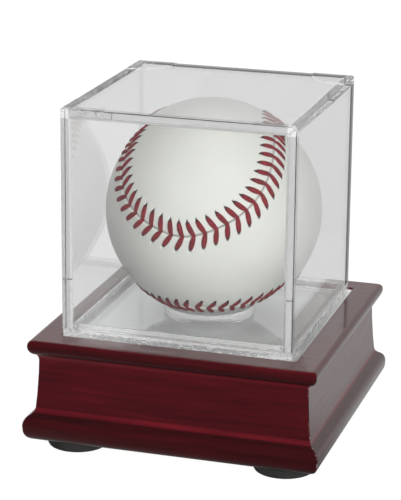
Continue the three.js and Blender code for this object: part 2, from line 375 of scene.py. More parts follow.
def make_acrylic(name, clear, crinkle=0.0, tone=1.0):
    """Clear acrylic; a little light is scattered at each surface, more where clear is lower.
    Crinkle roughens the moulded surface outside the flat floor."""
    m, nt, out = material(name)
    co = object_coord(nt)
    p = nt.nodes.new("ShaderNodeBsdfPrincipled")
    p.inputs["Transmission Weight"].default_value = clear
    p.inputs["IOR"].default_value = 1.49
    haze = noise(nt, co, 60.0, 3.0, 0.6)
    # tone below 1 greys the acrylic; the grey copy uses it as painted shade along the cover's front edges
    tint = ramp(nt, haze, [(0.3, (0.972 * tone, 0.976 * tone, 0.974 * tone)), (0.7, (0.984 * tone, 0.988 * tone, 0.985 * tone))])
    nt.links.new(tint, p.inputs["Base Color"])
    p.inputs["Roughness"].default_value = 0.0
    swirl = noise(nt, co, 9.0, 1.0, 0.4)
    nrm = bump(nt, swirl, 0.05, 0.0004)
    if crinkle:
        sep = nt.nodes.new("ShaderNodeSeparateXYZ")
        nt.links.new(co, sep.inputs[0])
        edge = math_node(nt, "MAXIMUM", math_node(nt, "ABSOLUTE", math_node(nt, "SUBTRACT", sep.outputs[0], CUBE[0] * MM)),
                         math_node(nt, "ABSOLUTE", math_node(nt, "SUBTRACT", sep.outputs[1], CUBE[1] * MM)))
        h = math_node(nt, "MULTIPLY", noise(nt, co, 170.0, 2.0, 0.6, (1, 1, 1), 1.5), ramp_fac(nt, edge, 0.0358, 0.0368))
        nrm = bump(nt, h, crinkle, 0.0016, nrm)
    nt.links.new(nrm, p.inputs["Normal"])
    t = nt.nodes.new("ShaderNodeBsdfTransparent")
    t.inputs["Color"].default_value = (0.95, 0.955, 0.955, 1.0)
    lp = nt.nodes.new("ShaderNodeLightPath")
    mx = nt.nodes.new("ShaderNodeMixShader")
    nt.links.new(lp.outputs["Is Shadow Ray"], mx.inputs["Fac"])
    nt.links.new(p.outputs[0], mx.inputs[1])
    nt.links.new(t.outputs[0], mx.inputs[2])
    nt.links.new(mx.outputs[0], out.inputs["Surface"])
    return m


def make_leather():
    """White waxed leather: fine pebble, soft gloss, with painted shade in the stitch holes and painted shade with some
    dirt in the seam.
    """
    m, nt, out = material("white_leather")
    co = object_coord(nt)
    hole = nt.nodes.new("ShaderNodeAttribute")
    hole.attribute_name = "hole"
    seam = nt.nodes.new("ShaderNodeAttribute")
    seam.attribute_name = "seam"
    cloud = noise(nt, co, 45.0, 3.0, 0.5)
    base = ramp(nt, cloud, [(0.25, (0.74, 0.742, 0.70)), (0.75, (0.80, 0.80, 0.755))])
    # painted shade, with some dirt, in the seam
    base = mix_color(nt, math_node(nt, "MULTIPLY", seam.outputs["Fac"], 0.26), base, (0.30, 0.20, 0.18))
    # painted shade in the stitch holes
    base = mix_color(nt, math_node(nt, "MULTIPLY", hole.outputs["Fac"], 0.95), base, (0.030, 0.012, 0.014))
    p = nt.nodes.new("ShaderNodeBsdfPrincipled")
    nt.links.new(base, p.inputs["Base Color"])
    vor = nt.nodes.new("ShaderNodeTexVoronoi")
    vor.feature = "DISTANCE_TO_EDGE"
    vor.inputs["Scale"].default_value = 1150.0
    vor.inputs["Randomness"].default_value = 1.0
    nt.links.new(co, vor.inputs["Vector"])
    fine = noise(nt, co, 2600.0, 3.0, 0.6)
    wrinkle = noise(nt, co, 230.0, 3.0, 0.55)
    h = math_node(nt, "ADD", math_node(nt, "MULTIPLY", ramp_fac(nt, vor.outputs["Distance"], 0.0, 0.25), 0.6),
                  math_node(nt, "MULTIPLY", fine, 0.35))
    h = math_node(nt, "ADD", h, math_node(nt, "MULTIPLY", wrinkle, 1.6))
    nt.links.new(bump(nt, h, 0.22, 0.00006), p.inputs["Normal"])
    nt.links.new(ramp_fac(nt, wrinkle, 0.25, 0.75, 0.33, 0.46), p.inputs["Roughness"])
    p.inputs["Specular IOR Level"].default_value = 0.5
    nt.links.new(p.outputs[0], out.inputs["Surface"])
    return m


def make_thread():
    """Waxed red thread, two plies twisted together, with painted shade in the grooves between the plies and at the ends
    that go into the holes.
    """
    m, nt, out = material("red_thread")
    co = object_coord(nt)
    al = nt.nodes.new("ShaderNodeAttribute")
    al.attribute_name = "along"
    ar = nt.nodes.new("ShaderNodeAttribute")
    ar.attribute_name = "around"
    ang = math_node(nt, "ADD", math_node(nt, "MULTIPLY", al.outputs["Fac"], 2 * math.pi / 1.5),
                    math_node(nt, "MULTIPLY", ar.outputs["Fac"], 4 * math.pi))
    ply = math_node(nt, "ABSOLUTE", math_node(nt, "SINE", ang))
    fibre = noise(nt, co, 5200.0, 3.0, 0.6)
    tone = noise(nt, co, 330.0, 2.0, 0.5)
    base = ramp(nt, tone, [(0.3, (0.17, 0.0015, 0.008)), (0.7, (0.30, 0.003, 0.016))])
    # darker in the grooves between the plies: painted shade
    dark = ramp_fac(nt, ply, 0.0, 0.55, 0.45, 1.0)
    cmb = nt.nodes.new("ShaderNodeCombineColor")
    for i in range(3):
        nt.links.new(dark, cmb.inputs[i])
    base = mix_color(nt, 1.0, base, cmb.outputs[0], "MULTIPLY")
    tip = nt.nodes.new("ShaderNodeAttribute")
    tip.attribute_name = "tip"
    # near-black at the ends where the thread goes into the holes: painted shade
    base = mix_color(nt, ramp_fac(nt, tip.outputs["Fac"], 0.70, 0.96), base, (0.020, 0.001, 0.003))
    p = nt.nodes.new("ShaderNodeBsdfPrincipled")
    nt.links.new(base, p.inputs["Base Color"])
    h = math_node(nt, "ADD", ply, math_node(nt, "MULTIPLY", fibre, 0.35))
    nt.links.new(bump(nt, h, 0.7, 0.00018), p.inputs["Normal"])
    nt.links.new(ramp_fac(nt, fibre, 0.2, 0.8, 0.45, 0.65), p.inputs["Roughness"])
    p.inputs["Specular IOR Level"].default_value = 0.12
    nt.links.new(p.outputs[0], out.inputs["Surface"])
    return m


def make_rubber(name, dark, light, rough=(0.55, 0.75)):
    m, nt, out = material(name)
    co = object_coord(nt)
    a = noise(nt, co, 900.0, 4.0, 0.6)
    b = noise(nt, co, 120.0, 3.0, 0.5)
    base = ramp(nt, b, [(0.3, dark), (0.7, light)])
    p = nt.nodes.new("ShaderNodeBsdfPrincipled")
    nt.links.new(base, p.inputs["Base Color"])
    nt.links.new(ramp_fac(nt, a, 0.3, 0.7, *rough), p.inputs["Roughness"])
    nt.links.new(bump(nt, a, 0.35, 0.00008), p.inputs["Normal"])
    p.inputs["Specular IOR Level"].default_value = 0.4
    nt.links.new(p.outputs[0], out.inputs["Surface"])
    return m


def make_steel():
    m, nt, out = material("screw_steel")
    co = object_coord(nt)
    a = noise(nt, co, 1500.0, 3.0, 0.6, (1, 1, 0.15))
    base = ramp(nt, a, [(0.3, (0.46, 0.45, 0.43)), (0.7, (0.63, 0.62, 0.60))])
    p = nt.nodes.new("ShaderNodeBsdfPrincipled")
    nt.links.new(base, p.inputs["Base Color"])
    p.inputs["Metallic"].default_value = 1.0
    nt.links.new(ramp_fac(nt, a, 0.2, 0.8, 0.22, 0.42), p.inputs["Roughness"])
    nt.links.new(bump(nt, a, 0.2, 0.00003), p.inputs["Normal"])
    nt.links.new(p.outputs[0], out.inputs["Surface"])
    return m


def make_bare_wood(name, light, dark, grain_axis="X", fibre_scale=260.0):
    m, nt, out = material(name)
    co = object_coord(nt)
    along = {"X": (0.05, 1, 1), "Z": (1, 1, 0.05)}[grain_axis]
    a = noise(nt, co, fibre_scale, 6.0, 0.65, along, 1.2)
    b = noise(nt, co, fibre_scale * 6, 3.0, 0.6, along)
    base = ramp(nt, a, [(0.32, dark), (0.66, light)])
    spots = ramp(nt, b, [(0.3, 0.78), (0.55, 1.0)])
    base = mix_color(nt, 1.0, base, spots, "MULTIPLY")
    p = nt.nodes.new("ShaderNodeBsdfPrincipled")
    nt.links.new(base, p.inputs["Base Color"])
    nt.links.new(ramp_fac(nt, a, 0.2, 0.8, 0.62, 0.85), p.inputs["Roughness"])
    h = math_node(nt, "ADD", a, math_node(nt, "MULTIPLY", b, 0.5))
    nt.links.new(bump(nt, h, 0.3, 0.00015), p.inputs["Normal"])
    nt.links.new(p.outputs[0], out.inputs["Surface"])
    return m


def make_fibreboard():
    m, nt, out = material("fibreboard")
    co = object_coord(nt)
    a = noise(nt, co, 700.0, 6.0, 0.7, (1, 1, 1), 2.0)
    b = noise(nt, co, 60.0, 3.0, 0.5)
    base = ramp(nt, a, [(0.3, (0.17, 0.095, 0.05)), (0.5, (0.27, 0.165, 0.09)), (0.72, (0.38, 0.25, 0.15))])
    shade = ramp(nt, b, [(0.3, 0.88), (0.7, 1.06)])
    base = mix_color(nt, 1.0, base, shade, "MULTIPLY")
    p = nt.nodes.new("ShaderNodeBsdfPrincipled")
    nt.links.new(base, p.inputs["Base Color"])
    nt.links.new(ramp_fac(nt, a, 0.2, 0.8, 0.7, 0.9), p.inputs["Roughness"])
    nt.links.new(bump(nt, a, 0.35, 0.0001), p.inputs["Normal"])
    nt.links.new(p.outputs[0], out.inputs["Surface"])
    return m


def make_yarn():
    m, nt, out = material("wool_yarn")
    co = object_coord(nt)
    warp = noise(nt, co, 60.0, 2.0, 0.5)
    hs = []
    for rot in ((0.3, 0.2, 0.0), (1.3, 0.4, 0.9), (0.2, 1.4, 2.1)):
        mp = nt.nodes.new("ShaderNodeMapping")
        mp.inputs["Rotation"].default_value = rot
        nt.links.new(co, mp.inputs["Vector"])
        w = nt.nodes.new("ShaderNodeTexWave")
        w.inputs["Scale"].default_value = 190.0
        w.inputs["Distortion"].default_value = 2.0
        w.inputs["Detail"].default_value = 2.0
        nt.links.new(mp.outputs[0], w.inputs["Vector"])
        hs.append(w.outputs["Fac"])
    h = math_node(nt, "MAXIMUM", hs[0], math_node(nt, "MAXIMUM", hs[1], hs[2]))
    # darker where the strands are low, in the gaps between them: painted shade
    base = ramp(nt, h, [(0.35, (0.30, 0.28, 0.25)), (0.85, (0.62, 0.59, 0.53))])
    shade = ramp(nt, warp, [(0.3, 0.85), (0.7, 1.08)])
    base = mix_color(nt, 1.0, base, shade, "MULTIPLY")
    p = nt.nodes.new("ShaderNodeBsdfPrincipled")
    nt.links.new(base, p.inputs["Base Color"])
    p.inputs["Roughness"].default_value = 0.9
    p.inputs["Sheen Weight"].default_value = 0.3
    nt.links.new(bump(nt, h, 0.8, 0.0004), p.inputs["Normal"])
    nt.links.new(p.outputs[0], out.inputs["Surface"])
    return m


def make_cork():
    m, nt, out = material("cork")
    co = object_coord(nt)
    vor = nt.nodes.new("ShaderNodeTexVoronoi")
    vor.inputs["Scale"].default_value = 520.0
    nt.links.new(co, vor.inputs["Vector"])
    sp = nt.nodes.new("ShaderNodeSeparateColor")
    nt.links.new(vor.outputs["Color"], sp.inputs[0])
    base = ramp(nt, sp.outputs[0], [(0.1, (0.16, 0.07, 0.025)), (0.5, (0.40, 0.22, 0.10)), (0.9, (0.55, 0.34, 0.18))])
    p = nt.nodes.new("ShaderNodeBsdfPrincipled")
    nt.links.new(base, p.inputs["Base Color"])
    p.inputs["Roughness"].default_value = 0.85
    nt.links.new(bump(nt, vor.outputs["Distance"], 0.4, 0.0003), p.inputs["Normal"])
    nt.links.new(p.outputs[0], out.inputs["Surface"])
    return m


def make_lining():
    """Pale short-nap lining on the floor of the recess."""
    m, nt, out = material("recess_lining")
    co = object_coord(nt)
    a = noise(nt, co, 1400.0, 4.0, 0.7)
    b = noise(nt, co, 90.0, 3.0, 0.5)
    base = ramp(nt, a, [(0.3, (0.89, 0.895, 0.875)), (0.7, (0.96, 0.96, 0.945))])
    shade = ramp(nt, b, [(0.3, 0.95), (0.7, 1.02)])
    base = mix_color(nt, 1.0, base, shade, "MULTIPLY")
    p = nt.nodes.new("ShaderNodeBsdfPrincipled")
    nt.links.new(base, p.inputs["Base Color"])
    nt.links.new(ramp_fac(nt, a, 0.2, 0.8, 0.8, 0.95), p.inputs["Roughness"])
    nt.links.new(bump(nt, a, 0.4, 0.0001), p.inputs["Normal"])
    nt.links.new(p.outputs[0], out.inputs["Surface"])
    return m


LINING = make_lining()
# board ramp: darker towards the bottom, painted shade under the bullnose
LACQUER_BOARD = make_lacquer("cherry_lacquer_board", "X", [(0.0, 0.12), (0.35, 0.22), (0.75, 0.34), (0.97, 0.50)])
# rail ramp: the peaks at the cove and just under the fillet are painted highlights, the dark base moulding is painted
# shade
LACQUER_RAIL = make_lacquer("cherry_lacquer_rail", "X", [
    (0.0, 0.22), (0.14, 0.27), (0.26, 0.29), (0.322, 0.24), (0.338, 0.92), (0.370, 0.85), (0.388, 0.42), (0.44, 0.46),
    (0.60, 0.48), (0.86, 0.47), (0.93, 0.60), (0.965, 0.95), (1.0, 0.80)], rail_light_and_wear=True)
ACRYLIC = make_acrylic("clear_acrylic", 0.994)
ACRYLIC_TRAY = make_acrylic("clear_acrylic_tray", 0.84, 0.5)
# grey-tinted copy for the cover's front edge strips: painted shade standing in for the dark reflections seen in the
# walls there
ACRYLIC_SHADED_STRIP = make_acrylic("clear_acrylic_shaded_strip", 0.90, 0.0, 0.56)
ACRYLIC_EDGE = make_acrylic("clear_acrylic_edge", 0.87)
LEATHER = make_leather()
THREAD = make_thread()
FOOT = make_rubber("foot_rubber", (0.014, 0.0145, 0.014), (0.028, 0.0285, 0.027))
SHELL = make_rubber("core_rubber", (0.16, 0.018, 0.012), (0.23, 0.030, 0.020), (0.6, 0.8))
STEEL = make_steel()
PINE = make_bare_wood("bare_wood", (0.52, 0.36, 0.20), (0.36, 0.21, 0.10), "Z")
BOARD = make_fibreboard()
YARN = make_yarn()
CORK = make_cork()

# --------------------------------------------------------------------- plinth
bull = spline([(49.9, -4.98), (50.45, -4.5), (50.9, -3.8), (51.2, -3.0), (51.3, -2.2), (51.25, -1.5),
               (51.1, -1.0), (50.75, -0.5), (50.3, -0.17), (49.7, 0.0)], 4)
profile = ([(20.0, -5.0), (49.2, -5.0), (49.75, -5.0)] + bull +
           filleted([(49.5, 0.0), (41.85, 0.0), (41.85, -0.8), (41.85, -2.5), (20.0, -2.5)], [0, 0.3, 0.0, 0.0, 0], 4)[0:])
board = square_loft("top_board_lacquered", profile,
                    [1.0 if h > 45 else 0.6 for h, z in profile], (0, 0, TOP), 6)
tidy(board, 0.55)
finish_piece(board, "stand", LACQUER_BOARD, ["top_board"])
board.data.materials.append(LINING)
for poly in board.data.polygons:
    low = poly.center.z / MM - TOP
    inside = max(abs(poly.center.x), abs(poly.center.y)) / MM < 41.9
    if inside and ((poly.normal.z > 0.9 and abs(low + 2.5) < 0.02) or (abs(poly.normal.z) < 0.1 and -2.5 < low < -0.9)):
        poly.material_index = 1

rail_outer = ([(49.15, -5.1)] +
              spline([(49.0, -5.25), (48.6, -5.7), (48.2, -6.5), (48.0, -7.5), (48.02, -9.0)], 4) +
              [(48.1, -12.0), (48.34, -16.0), (48.6, -20.0), (48.84, -22.5)] +
              spline([(49.05, -24.6), (49.2, -25.4), (49.6, -26.2), (50.5, -27.0), (51.4, -27.65), (52.0, -28.3),
                      (52.5, -29.3), (52.77, -30.5), (52.77, -31.5), (52.6, -33.2), (52.1, -34.5), (51.4, -35.4),
                      (50.4, -36.1), (49.2, -36.6)], 4) +
              [(48.0, -36.9)])
rail_inner = [(45.2, -36.9), (45.2, -33.7), (42.0, -33.7), (42.0, -5.1)]


def rail(name, quarter):
    loop = rail_outer + rail_inner
    gap = 0.05
    cols = [(-1, 0.0, 0.14), (-1, 0.22, 0.0), (-1, 0.6, 0.0), (1, 0.6, 0.0), (1, 0.22, 0.0), (1, 0.0, 0.14)]
    verts, faces = [], []
    n_out = len(rail_outer)
    for side, inward, inset in cols:
        for k, (h, z) in enumerate(loop):
            hh = h - (inset if k < n_out else 0.0)
            verts.append((side * (hh - gap - inward), -hh, z))
    n = len(loop)
    for c in range(len(cols) - 1):
        for i in range(n):
            j = (i + 1) % n
            faces.append((c * n + i, c * n + j, (c + 1) * n + j, (c + 1) * n + i))
    faces.append(tuple(range(n)))
    faces.append(tuple(reversed([(len(cols) - 1) * n + i for i in range(n)])))
    ob = new_object(name, verts, faces)
    tidy(ob, 0.5)
    ob.matrix_world = Matrix.Translation((0, 0, TOP * MM)) @ Matrix.Rotation(quarter * math.pi / 2, 4, "Z")
    return ob


for name, q, cad in (("front_moulding", 0, "front_rail"), ("right_moulding", 1, "right_rail"),
                     ("rear_moulding", 2, "rear_rail"), ("left_moulding", 3, "left_rail")):
    finish_piece(rail(name, q), "stand", LACQUER_RAIL, [cad])

FEET = {"fl": (-37.5, -37.5), "fr": (37.5, -37.5), "rl": (-37.5, 37.5), "rr": (37.5, 37.5)}
foot_profile = ([(4.2, 0.02)] + filleted([(4.6, 0.0), (9.55, 0.0), (10.45, 0.3), (10.8, 1.0), (10.8, 3.35),
                                          (10.35, 3.78), (2.2, 3.78)], 0.25, 4) +
                [(2.1, 3.6), (2.1, 2.15), (2.3, 2.0), (4.0, 2.0), (4.2, 1.8)])


def screw(name, at):
    body = lathe(name, [(0, 0.6)] + filleted([(0.0, 0.6), (2.6, 0.6), (3.7, 1.25), (3.7, 1.95), (1.7, 1.95)], 0.3, 4)[1:] +
                 [(1.7, 3.0)] +
                 [p for k in range(14) for p in ((1.2, 3.3 + 0.9 * k), (1.75, 3.7 + 0.9 * k))][:-1] +
                 [(1.0, 16.3), (0.0, 18.4)], (at[0], at[1], 0), 48)
    v, f = [], []
    for turn in range(2):
        w, l, d = (0.42, 1.75, 1.35)
        c, s = math.cos(0.5 + turn * math.pi / 2), math.sin(0.5 + turn * math.pi / 2)
        base = len(v)
        for z, k in ((0.4, 1.0), (0.6 + d, 0.35)):
            for x, y in ((-l * k, -w * (0.6 + 0.4 * k)), (l * k, -w * (0.6 + 0.4 * k)),
                         (l * k, w * (0.6 + 0.4 * k)), (-l * k, w * (0.6 + 0.4 * k))):
                v.append((at[0] + c * x - s * y, at[1] + s * x + c * y, z))
        f += [tuple(base + i for i in q) for q in ((3, 2, 1, 0), (4, 5, 6, 7), (0, 1, 5, 4), (1, 2, 6, 5),
                                                   (2, 3, 7, 6), (3, 0, 4, 7))]
        cross = new_object("cut", v[base:], [tuple(i - base for i in q) for q in f[-6:]])
        boolean(body, cross, "DIFFERENCE")
    return tidy(body, 0.6)


for tag, (fx, fy) in FEET.items():
    foot = lathe(f"rubber_foot_{tag}", foot_profile, (fx, fy, 0), 96)
    tidy(foot, 0.7)
    finish_piece(foot, "stand", FOOT, [f"foot_{tag}"])
    finish_piece(screw(f"pan_screw_{tag}", (fx, fy)), "stand", STEEL, [f"foot_screw_{tag}"])

# ----------------------------------------------------------------- clear cube
def bevel_where(bm, test, offset, segments):
    edges = [e for e in bm.edges if test(e)]
    bmesh.ops.bevel(bm, geom=edges, offset=offset, offset_type="OFFSET", segments=segments,
                    profile=0.5, affect="EDGES", clamp_overlap=False)


def prism(name, outline, z0, z1):
    n = len(outline)
    verts = [(x, y, z0) for x, y in outline] + [(x, y, z1) for x, y in outline]
    faces = [tuple(reversed(range(n))), tuple(range(n, 2 * n))]
    faces += [(i, (i + 1) % n, n + (i + 1) % n, n + i) for i in range(n)]
    return new_object(name, verts, faces)


def corner_pads(name, at, radius, z0, z1, up, n=24):
    """Four quarter-round pads, one in each corner, as one operand."""
    verts, faces = [], []
    e = 0.10
    for q in range(4):
        ca, sa = math.cos(q * math.pi / 2), math.sin(q * math.pi / 2)
        rows = []
        for shrink, z in ((0.0, z0), (0.0, z1 - up * e), (e, z1)):
            r, a = radius - shrink, at - shrink
            loc = [(a, a)] + [(at - r * math.sin(t), at - r * math.cos(t)) for t in
                              (math.pi / 2 * k / n for k in range(n + 1))]
            loc[1] = (a, loc[1][1])
            loc[1] = (a, at - r)
            loc[-1] = (at - r, a)
            loc = [(min(x, a), min(y, a)) for x, y in loc]
            rows.append([(ca * x - sa * y, sa * x + ca * y, z) for x, y in loc])
        base, m = len(verts), len(rows[0])
        for r_ in rows:
            verts += r_
        faces.append(tuple(base + i for i in reversed(range(m))))
        faces.append(tuple(base + 2 * m + i for i in range(m)))
        for k in range(2):
            faces += [(base + k * m + i, base + k * m + (i + 1) % m,
                       base + (k + 1) * m + (i + 1) % m, base + (k + 1) * m + i) for i in range(m)]
    ob = new_object(name, [(x + CUBE[0], y + CUBE[1], z + TOP) for x, y, z in verts], faces)
    bm = bmesh.new()
    bm.from_mesh(ob.data)
    bmesh.ops.recalc_face_normals(bm, faces=bm.faces)
    bm.to_mesh(ob.data)
    bm.free()
    return ob


def make_cover():
    o, i = 40.98, 38.0
    z0, z1, zi = 2.65, 80.34, 77.34
    c = [(-1, -1), (1, -1), (1, 1), (-1, 1)]
    verts = [(o * x, o * y, z0) for x, y in c] + [(o * x, o * y, z1) for x, y in c]
    verts += [(i * x, i * y, z0) for x, y in c] + [(i * x, i * y, zi) for x, y in c]
    faces = [(4, 5, 6, 7), (15, 14, 13, 12)]
    for k in range(4):
        j = (k + 1) % 4
        faces += [(k, j, 4 + j, 4 + k), (8 + j, 8 + k, 12 + k, 12 + j), (j, k, 8 + k, 8 + j)]
    ob = new_object("clear_cover", [(x + CUBE[0], y + CUBE[1], z + TOP) for x, y, z in verts], faces)
    bm = bmesh.new()
    bm.from_mesh(ob.data)
    bmesh.ops.recalc_face_normals(bm, faces=bm.faces)

    def mid(e):
        m_ = (e.verts[0].co + e.verts[1].co) / 2 / MM - Vector((CUBE[0], CUBE[1], TOP))
        return m_

    def vertical(e):
        return abs(e.verts[0].co.z - e.verts[1].co.z) > 0.01

    def reach(e):
        m_ = mid(e)
        return max(abs(m_.x), abs(m_.y))

    bevel_where(bm, lambda e: (vertical(e) and reach(e) > 39.5) or (mid(e).z > 79.5), 0.42 * MM, 4)
    bevel_where(bm, lambda e: (vertical(e) and abs(mid(e).x) < 38.5 and abs(mid(e).y) < 38.5
                               and min(abs(mid(e).x), abs(mid(e).y)) > 37.5 and
                               abs(mid(e).z - 40) < 10)
                or (abs(mid(e).z - zi) < 0.01 and reach(e) < 38.5 and not vertical(e)), 0.5 * MM, 4)

    def on_rim(e):
        if any(abs(v.co.z / MM - TOP - z0) > 0.01 for v in e.verts) or len(e.link_faces) != 2:
            return False
        zs = sorted(abs(f.normal.z) for f in e.link_faces)
        return zs[0] < 0.1 and zs[1] > 0.9

    bevel_where(bm, on_rim, 0.12 * MM, 2)
    bm.to_mesh(ob.data)
    bm.free()
    pads = corner_pads("pads", 40.45, 14.6, 80.1, 80.64, 1)
    boolean(ob, pads, "UNION")
    bm = bmesh.new()
    bm.from_mesh(ob.data)
    for axis, at in ((0, -37.9), (0, 37.9), (1, -37.9), (1, 37.9), (2, 77.1), (2, 5.0)):
        co, no = [CUBE[0] * MM, CUBE[1] * MM, TOP * MM], [0, 0, 0]
        co[axis] += at * MM
        no[axis] = 1
        bmesh.ops.bisect_plane(bm, geom=bm.verts[:] + bm.edges[:] + bm.faces[:], plane_co=co, plane_no=no, dist=1e-7)
    bm.to_mesh(ob.data)
    bm.free()
    return tidy(ob, 0.6, flat_big=True)


def mark_edges(ob):
    """The strips along the cover's far edges get the material with more scatter; the front edge strips get the
    grey-tinted copy, painted shade.
    """
    ob.data.materials.append(ACRYLIC_EDGE)
    ob.data.materials.append(ACRYLIC_SHADED_STRIP)
    for poly in ob.data.polygons:
        x, y, z = (poly.center[i] / MM - c for i, c in enumerate((CUBE[0], CUBE[1], TOP)))
        side, back, high = x > 37.9, y > 37.9, z > 77.1
        if (side and (back or high)) or (back and high) or (x < -37.9 and (high or back)):
            poly.material_index = 1
        # front edge strips: painted shade
        elif y < -37.9 and (abs(x) > 37.9 or high):
            poly.material_index = 2


def make_tray():
    pts = [(20.0, -1.7), (41.0, -1.7), (41.0, 2.6), (37.7, 2.6), (37.7, 4.0), (36.6, 4.0), (36.6, 0.3), (20.0, 0.3)]
    prof = filleted(pts, [0, 0.35, 0.2, 0.15, 0.25, 0.25, 0.35, 0], 4)
    ob = square_loft("clear_base_tray", prof, [1.0 if h > 38.5 else 0.8 for h, z in prof],
                     (CUBE[0], CUBE[1], TOP), 6)
    tidy(ob, 0.6)
    feet = corner_pads("feet", 40.4, 14.4, -1.5, -2.45, -1)
    boolean(ob, feet, "UNION")
    return tidy(ob, 0.6, flat_big=True)


def make_cradle():
    """Low round block with a flat rim round a dish that fits the ball."""
    r, z0, z1, dish = 15.97, 0.36, 4.19, 37.3
    centre = BALL_C[2] - TOP
    lip = math.sqrt(dish ** 2 - (centre - z1) ** 2)
    edge = filleted([(0.0, z0), (r, z0), (r, z1), (lip + 0.06, z1)], [0, 0.25, 0.3, 0], 5)
    hollow = [(dish * math.sin(a), centre - dish * math.cos(a)) for a in
              (math.asin(lip / dish) * (1 - k / 24) for k in range(1, 24))]
    bottom = [(0.0, centre - dish)]
    ob = lathe("clear_cradle", edge + [(lip - 0.02, z1 - 0.03)] + hollow + bottom, (CUBE[0], CUBE[1], TOP), 128)
    return tidy(ob, 0.5, flat_big=True)


mark_edges(finish_piece(make_cover(), "cover", ACRYLIC, ["cover"]))
finish_piece(make_tray(), "display_tray", ACRYLIC_TRAY, ["base_tray"])
finish_piece(make_cradle(), "display_tray", ACRYLIC_TRAY, ["ball_cradle"])

# ----------------------------------------------------------------------- ball
SEAM_B, SEAM_SWAY = 0.462, 0.336
LEATHER_R, LEATHER_IN = 36.8, 35.5
FULL = 4 * math.pi


def seam(t):
    a = np.pi / 2 - (np.pi / 2 - SEAM_B) * np.cos(t)
    b = t / 2 + SEAM_SWAY * np.sin(2 * t)
    return np.stack([np.sin(a) * np.cos(b), np.sin(a) * np.sin(b), np.cos(a)], -1)


_t = np.linspace(0, FULL, 40001)
_p = seam(_t)
_s = np.r_[0, np.cumsum(np.linalg.norm(np.diff(_p, axis=0), axis=1))]
SEAM_LEN = _s[-1] * LEATHER_R                      # mm, at the leather's surface
T_OF = lambda s: np.interp(np.mod(s, SEAM_LEN), _s * LEATHER_R, _t)
S_OF = lambda t: np.interp(np.mod(t, FULL), _t, _s * LEATHER_R)

# where the 108 stitches sit along the seam: stitch number against length along the seam
_k = LEATHER_R / 37.0
_anchor_s = np.array([-3.47, 25.15, 134.76, 239.57, 388.04]) * _k
_anchor_n = np.array([0.0, 7.0, 39.0, 65.0, 108.0])
APEX_S = np.interp(np.arange(108), _anchor_n, _anchor_s)
HOLE = {"a": (5.45, 1.95), "b": (5.1, 2.35)}       # sideways, and along the seam from the point of the V


def in_place(co):
    """From the ball's own axes to the row frame."""
    return co @ np.array(BALL_TURN.to_matrix()).T + BALL_C


def frame_at(t):
    """Unit point, unit tangent and the direction into panel a, on the unit sphere."""
    p = seam(t)
    e = 1e-4
    d = seam(t + e) - seam(t - e)
    d /= np.linalg.norm(d, axis=-1, keepdims=True)
    return p, d, np.cross(d, p)


def relief(s, d, side):
    """Height of the leather's surface, in mm, at length s along the seam and d away from it."""
    dh, ds = HOLE[side]
    x = np.clip((d - 0.12) / 0.75, 0, 1)
    h = -0.62 * (1 - x) ** 2
    y = np.clip((7.2 - d) / 2.6, 0, 1)
    h = h + 0.11 * y * y * (3 - 2 * y)
    near = s[..., None] - APEX_S
    near = (near + SEAM_LEN / 2) % SEAM_LEN - SEAM_LEN / 2
    dd = np.broadcast_to(d, s.shape)[..., None]
    r2 = (near - ds) ** 2 + (dd - dh) ** 2
    hole = np.exp(-r2 / 0.42 ** 2).max(-1)
    v = np.clip((near * ds + dd * dh) / (ds * ds + dh * dh), 0, 1)
    l2 = (near - v * ds) ** 2 + (dd - v * dh) ** 2
    groove = np.exp(-l2 / 0.62 ** 2).max(-1)
    return h - 0.55 * hole - 0.10 * groove, hole


